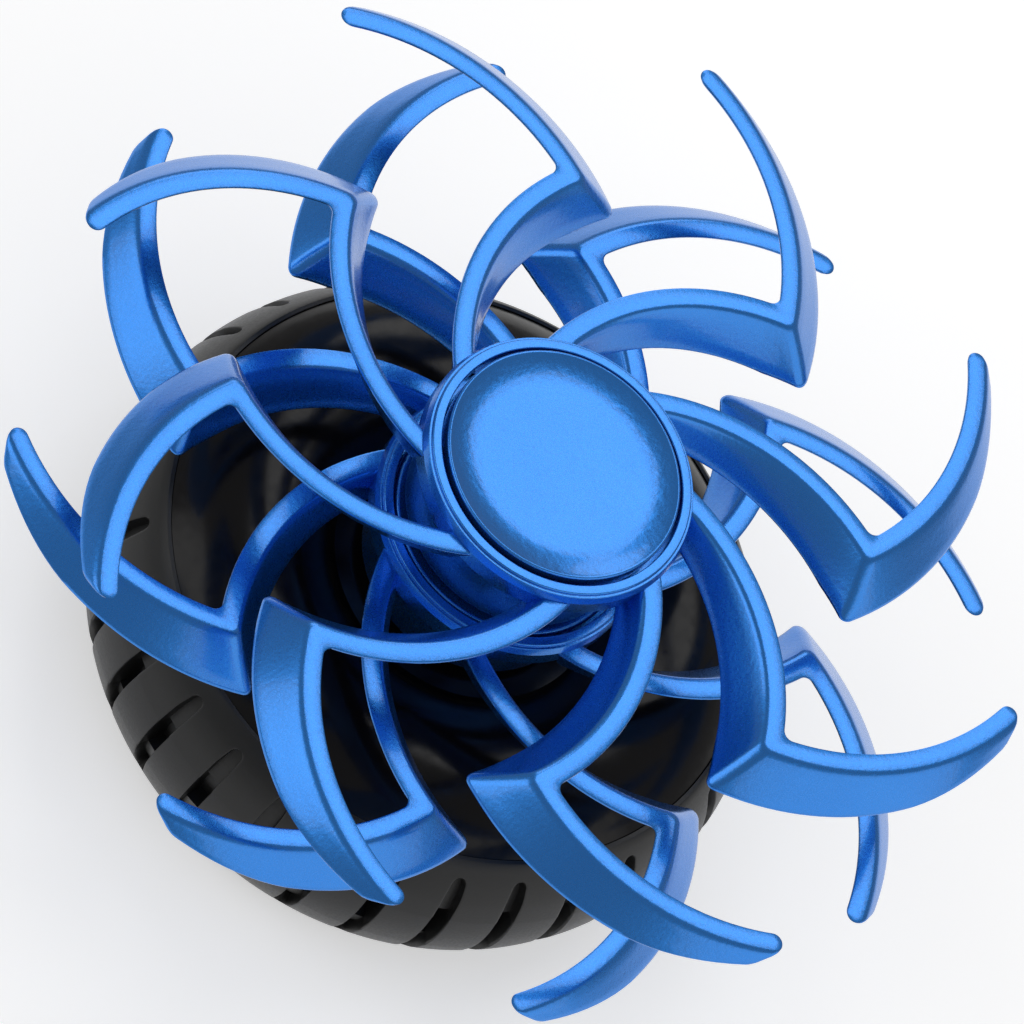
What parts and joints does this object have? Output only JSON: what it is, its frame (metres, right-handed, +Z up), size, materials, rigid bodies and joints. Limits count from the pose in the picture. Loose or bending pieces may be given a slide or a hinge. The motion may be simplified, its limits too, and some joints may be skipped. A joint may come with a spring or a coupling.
{
  "type": "fidget spinner",
  "caption": "Fidget spinner with two rotors of hooked blades, one above the other and curving opposite ways, on one axle over a tyre-shaped base with a dished finger cap.",
  "frame": {"origin": "centre of the base, on the surface that it stands on", "axes": "+Z up along the spin axis; +X through the tip of one upper blade"},
  "size_m": [0.0778, 0.0778, 0.0339],
  "materials": {
    "blue_metal": "satin metallic blue coat over cast zinc, with a fine sandblast grain",
    "tread_rubber": "satin black moulded tread",
    "gloss_black": "smooth black, slightly brown, soft gloss",
    "black_plastic": "matte black moulding",
    "foot_rubber": "matte rubber",
    "bright_steel": "turned steel",
    "bearing_steel": "ground bearing steel",
    "ballast_steel": "plain steel ring",
    "cage_plastic": "natural nylon"
  },
  "bodies": {
    "base": {"tyre": "tread_rubber", "sidewall_cover": "gloss_black", "core": "black_plastic", "ballast_ring": "ballast_steel", "bottom_cover": "black_plastic", "cover_screws": "bright_steel", "foot_ring": "foot_rubber", "axle": "bright_steel", "axle_washer": "bright_steel", "lower_spacer": "bright_steel", "middle_spacer": "blue_metal", "finger_cap": "blue_metal", "upper_inner_race": "bearing_steel", "lower_inner_race": "bearing_steel"},
    "upper_rotor": {"upper_rotor": "blue_metal", "upper_bezel": "blue_metal", "upper_outer_race": "bearing_steel", "upper_shield_top": "bearing_steel", "upper_shield_bottom": "bearing_steel"},
    "lower_rotor": {"lower_rotor": "blue_metal", "lower_bezel": "blue_metal", "lower_outer_race": "bearing_steel", "lower_shield_top": "bearing_steel", "lower_shield_bottom": "bearing_steel"},
    "upper_ball_set": {"upper_balls": "bearing_steel", "upper_cage": "cage_plastic"},
    "lower_ball_set": {"lower_balls": "bearing_steel", "lower_cage": "cage_plastic"}
  },
  "joints": [
    {"name": "upper_spin", "type": "hinge", "parent": "base", "child": "upper_rotor", "pos_m": [0, 0, 0.0326], "axis": [0, 0, 1], "continuous": true},
    {"name": "lower_spin", "type": "hinge", "parent": "base", "child": "lower_rotor", "pos_m": [0, 0, 0.0237], "axis": [0, 0, 1], "continuous": true},
    {"name": "upper_balls_roll", "type": "hinge", "parent": "base", "child": "upper_ball_set", "pos_m": [0, 0, 0.02862], "axis": [0, 0, 1], "continuous": true},
    {"name": "lower_balls_roll", "type": "hinge", "parent": "base", "child": "lower_ball_set", "pos_m": [0, 0, 0.01972], "axis": [0, 0, 1], "continuous": true}
  ],
  "couplings": [
    {"joint": "upper_balls_roll", "follows": "upper_spin", "ratio": 0.5834},
    {"joint": "lower_balls_roll", "follows": "lower_spin", "ratio": 0.5834}
  ]
}
